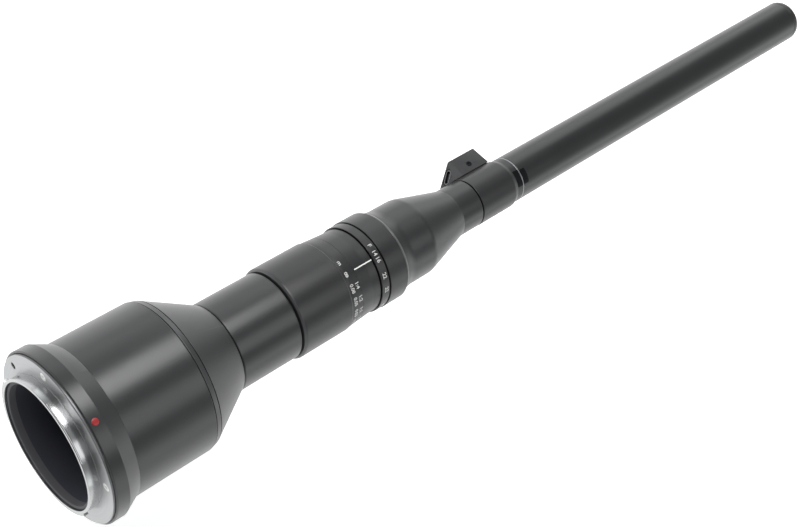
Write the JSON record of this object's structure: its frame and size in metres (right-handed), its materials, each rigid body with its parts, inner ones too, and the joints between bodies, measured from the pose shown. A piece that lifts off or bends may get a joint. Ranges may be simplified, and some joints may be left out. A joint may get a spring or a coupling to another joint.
{
  "type": "probe macro lens",
  "caption": "Long thin macro lens with a bayonet for a camera, a stepped body with focus and aperture rings, a lamp socket and a slim probe barrel with a lamp ring in its tip.",
  "frame": {"origin": "centre of the flange's rear face, on the optical axis", "axes": "+X along the optical axis towards the probe's tip, +Z through the index dot on the collar, +Y completes the right-handed frame"},
  "size_m": [0.4347, 0.0674, 0.0675],
  "materials": {
    "chromed_brass": "polished chrome on the bayonet flange and spigot",
    "steel": "plain steel",
    "flocked_black": "dead matt black, as inside a lens",
    "black_anodised": "satin black anodised aluminium",
    "ring_anodised": "satin black anodised aluminium, slightly darker, on the turning rings",
    "satin_band": "satin dark grey anodised aluminium",
    "bright_seam": "thin bare metal ring",
    "tip_black": "dull black anodised aluminium",
    "moulded_black": "moulded black plastic",
    "red_paint": "red enamel",
    "white_paint": "white enamel",
    "brass": "turned brass",
    "blade_steel": "blackened spring steel",
    "coated_glass": "optical glass with a thin coating",
    "clear_glass": "clear window",
    "circuit_board": "green circuit board",
    "lamp_white": "white light emitters with a yellow cast",
    "wire_cover": "thin wire in a red cover",
    "seal_rubber": "black rubber"
  },
  "bodies": {
    "root": {"bayonet_ring": "chromed_brass", "bayonet_screws": "steel", "rear_baffle": "flocked_black", "mount_collar": "black_anodised", "index_dot": "red_paint", "rear_barrel": "black_anodised", "barrel_band": "satin_band", "rear_cone": "black_anodised", "waist_tube": "black_anodised", "guide_barrel": "satin_band", "rear_cell": "flocked_black", "rear_lens": "coated_glass", "rear_doublet": "coated_glass", "rear_retainer": "flocked_black", "focus_stop_pin": "steel", "index_sleeve": "ring_anodised", "index_line": "white_paint", "iris_housing": "flocked_black", "iris_cover": "flocked_black", "front_housing": "black_anodised", "lamp_collar": "ring_anodised", "socket_housing": "moulded_black", "socket_board": "circuit_board", "socket_shell": "steel", "socket_tongue": "moulded_black", "socket_screw": "steel", "seam_ring": "bright_seam", "front_barrel": "black_anodised", "relay_tube": "flocked_black", "relay_lenses": "coated_glass", "relay_spacers": "flocked_black", "field_lens": "coated_glass", "objective_cell": "flocked_black", "objective_lens": "coated_glass", "front_lens": "coated_glass", "tip_ring": "tip_black", "led_board": "circuit_board", "leds": "lamp_white", "lamp_window": "clear_glass", "lamp_wires": "wire_cover", "tip_seal": "seal_rubber", "collar_seal": "seal_rubber"},
    "focus_ring": {"focus_ring": "ring_anodised", "focus_cam": "brass", "cam_retainer": "flocked_black"},
    "focus_group": {"focus_carrier": "flocked_black", "focus_rollers": "brass", "focus_lens_rear": "coated_glass", "focus_lens_front": "coated_glass", "focus_retainer": "flocked_black"},
    "aperture_ring": {"aperture_ring": "ring_anodised", "aperture_pin": "steel", "iris_cam_ring": "brass"},
    "blade_1": {"iris_blade_1": "blade_steel"},
    "blade_2": {"iris_blade_2": "blade_steel"},
    "blade_3": {"iris_blade_3": "blade_steel"},
    "blade_4": {"iris_blade_4": "blade_steel"},
    "blade_5": {"iris_blade_5": "blade_steel"},
    "blade_6": {"iris_blade_6": "blade_steel"},
    "blade_7": {"iris_blade_7": "blade_steel"}
  },
  "joints": [
    {"name": "focus_turn", "type": "hinge", "parent": "root", "child": "focus_ring", "pos_m": [0.11, 0, 0], "axis": [1, 0, 0], "range_deg": [-80, 0]},
    {"name": "focus_travel", "type": "slide", "parent": "root", "child": "focus_group", "axis": [1, 0, 0], "range_m": [0, 0.007]},
    {"name": "aperture_turn", "type": "hinge", "parent": "root", "child": "aperture_ring", "pos_m": [0.142, 0, 0], "axis": [1, 0, 0], "range_deg": [-62, 4.6]},
    {"name": "blade_1_swing", "type": "hinge", "parent": "root", "child": "blade_1", "pos_m": [0.142, 0, 0.0106], "axis": [1, 0, 0], "range_deg": [-1.31, 17.69]},
    {"name": "blade_2_swing", "type": "hinge", "parent": "root", "child": "blade_2", "pos_m": [0.142, -0.00829, 0.00661], "axis": [1, 0, 0], "range_deg": [-1.31, 17.69]},
    {"name": "blade_3_swing", "type": "hinge", "parent": "root", "child": "blade_3", "pos_m": [0.142, -0.01033, -0.00236], "axis": [1, 0, 0], "range_deg": [-1.31, 17.69]},
    {"name": "blade_4_swing", "type": "hinge", "parent": "root", "child": "blade_4", "pos_m": [0.142, -0.0046, -0.00955], "axis": [1, 0, 0], "range_deg": [-1.31, 17.69]},
    {"name": "blade_5_swing", "type": "hinge", "parent": "root", "child": "blade_5", "pos_m": [0.142, 0.0046, -0.00955], "axis": [1, 0, 0], "range_deg": [-1.31, 17.69]},
    {"name": "blade_6_swing", "type": "hinge", "parent": "root", "child": "blade_6", "pos_m": [0.142, 0.01033, -0.00236], "axis": [1, 0, 0], "range_deg": [-1.31, 17.69]},
    {"name": "blade_7_swing", "type": "hinge", "parent": "root", "child": "blade_7", "pos_m": [0.142, 0.00829, 0.00661], "axis": [1, 0, 0], "range_deg": [-1.31, 17.69]}
  ],
  "couplings": [
    {"joint": "focus_travel", "follows": "focus_turn", "m_per_rad": -0.0050134},
    {"joint": "blade_1_swing", "follows": "aperture_turn", "ratio": -0.28529},
    {"joint": "blade_2_swing", "follows": "aperture_turn", "ratio": -0.28529},
    {"joint": "blade_3_swing", "follows": "aperture_turn", "ratio": -0.28529},
    {"joint": "blade_4_swing", "follows": "aperture_turn", "ratio": -0.28529},
    {"joint": "blade_5_swing", "follows": "aperture_turn", "ratio": -0.28529},
    {"joint": "blade_6_swing", "follows": "aperture_turn", "ratio": -0.28529},
    {"joint": "blade_7_swing", "follows": "aperture_turn", "ratio": -0.28529}
  ]
}
